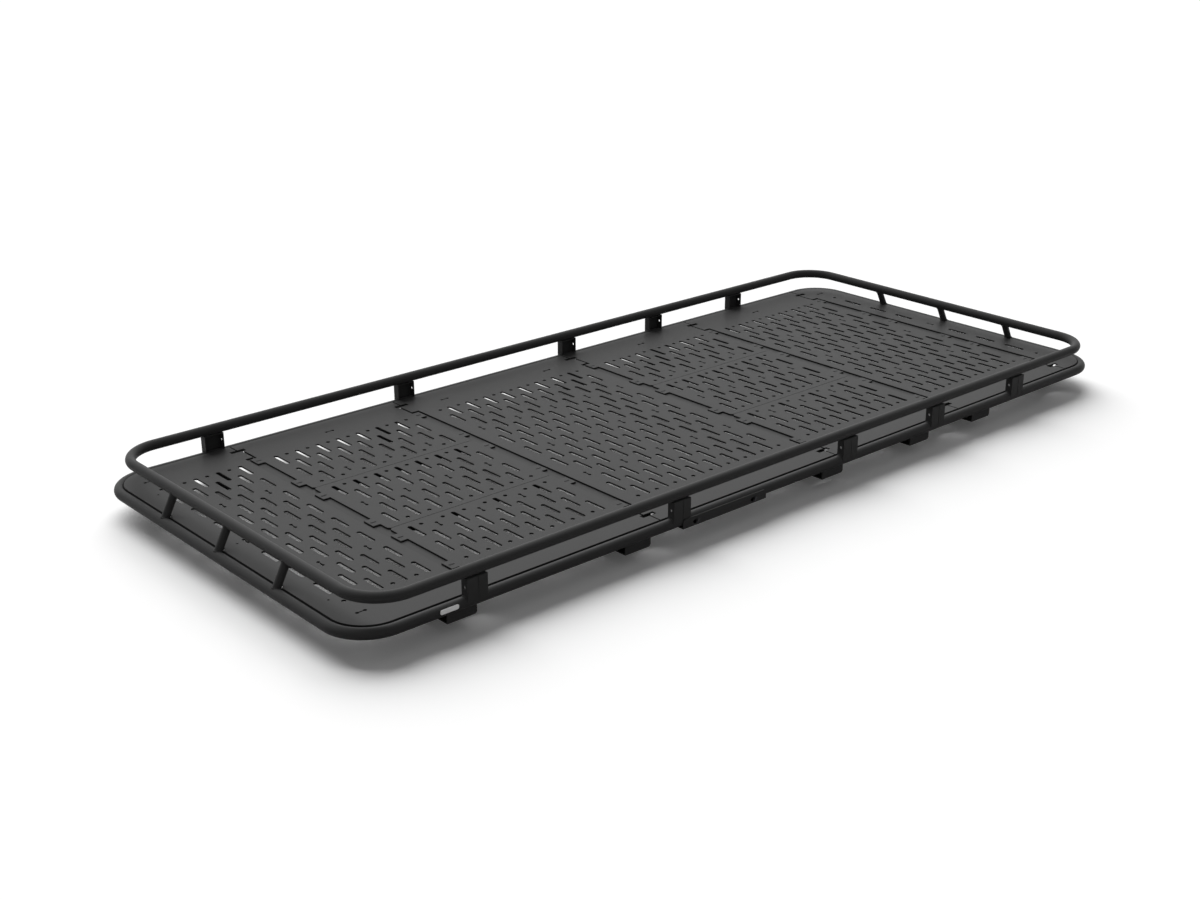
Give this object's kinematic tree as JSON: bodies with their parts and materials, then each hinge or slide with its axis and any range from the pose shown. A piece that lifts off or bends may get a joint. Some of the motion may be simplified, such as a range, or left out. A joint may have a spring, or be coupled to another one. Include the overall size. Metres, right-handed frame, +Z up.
{
  "type": "vehicle roof rack",
  "caption": "Full-length vehicle roof rack: slotted steel deck in a round tube loop, with a raised tube rail on folded posts and slanting end struts.",
  "frame": {"origin": "middle of the rack in plan, at the underside of the legs", "axes": "+Z up; X along the rack with the narrow end strip at +X; -Y is the side with the small plain plate"},
  "size_m": [3.4178, 1.4666, 0.1868],
  "materials": {
    "frame_coat": "matte black powder coat",
    "deck_coat": "matte black powder coat, lit from above",
    "bolt_steel": "black oxide",
    "pale_plate": "satin, plain"
  },
  "bodies": {
    "root": {"lower_tube_sides": "frame_coat", "lower_tube_ends": "frame_coat", "lower_tube_corners": "frame_coat", "rail_sides": "frame_coat", "rail_ends": "frame_coat", "rail_corners": "frame_coat", "deck_end_panel": "deck_coat", "deck_bay1_far": "deck_coat", "deck_bay1_middle": "deck_coat", "deck_bay1_near": "deck_coat", "deck_middle_panel": "deck_coat", "deck_bay3_far": "deck_coat", "deck_bay3_middle": "deck_coat", "deck_bay3_near": "deck_coat", "deck_plain_panel": "deck_coat", "deck_end_strip": "deck_coat", "cross_bars": "frame_coat", "stringers": "frame_coat", "side_ledges": "frame_coat", "posts_near": "frame_coat", "posts_far": "frame_coat", "struts_left": "frame_coat", "struts_right": "frame_coat", "legs_near": "frame_coat", "legs_far": "frame_coat", "tube_brackets_near": "frame_coat", "tube_brackets_far": "frame_coat", "side_plate_near": "frame_coat", "side_plate_far": "frame_coat", "side_plate_bolts": "bolt_steel", "blank_plate": "pale_plate"}
  },
  "joints": []
}
